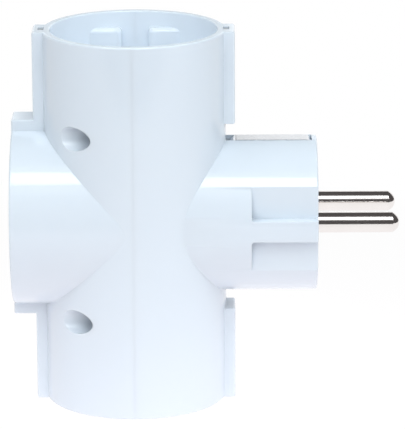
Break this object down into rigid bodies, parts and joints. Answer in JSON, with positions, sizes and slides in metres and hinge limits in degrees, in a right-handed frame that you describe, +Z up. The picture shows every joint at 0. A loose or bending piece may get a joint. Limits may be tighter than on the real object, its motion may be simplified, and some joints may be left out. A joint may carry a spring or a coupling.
{
  "type": "multi socket adapter",
  "caption": "Cross-shaped mains adapter: round recessed sockets above, below and to the left with side earth springs, and a round plug with pins to the right.",
  "frame": {"origin": "centre of the lower socket's rim, on the axis of the upper and lower sockets", "axes": "+Z up along the upper and lower sockets' axis, +X along the plug's pins, +Y across the two pins to the back"},
  "size_m": [0.0902, 0.0428, 0.0886],
  "materials": {
    "casing": "glossy pale blue-white moulded plastic",
    "plates": "satin pale blue-white moulded plastic",
    "nickel": "bright nickel plating on brass",
    "brass": "plain stamped brass",
    "screw_steel": "zinc-plated steel"
  },
  "bodies": {
    "root": {"socket_side_shell": "casing", "plug_side_shell": "casing", "upper_contact_plate": "plates", "lower_contact_plate": "plates", "left_contact_plate": "plates", "front_pin": "nickel", "back_pin": "nickel", "upper_plug_earth_strap": "nickel", "lower_plug_earth_strap": "nickel", "upper_earth_bracket": "nickel", "lower_earth_bracket": "nickel", "left_earth_bracket": "nickel", "front_busbar": "brass", "back_busbar": "brass", "upper_front_clip": "brass", "upper_back_clip": "brass", "lower_front_clip": "brass", "lower_back_clip": "brass", "left_front_clip": "brass", "left_back_clip": "brass", "upper_earth_link": "brass", "lower_earth_link": "brass", "earth_rivets": "brass", "casing_screws": "screw_steel"}
  },
  "joints": []
}
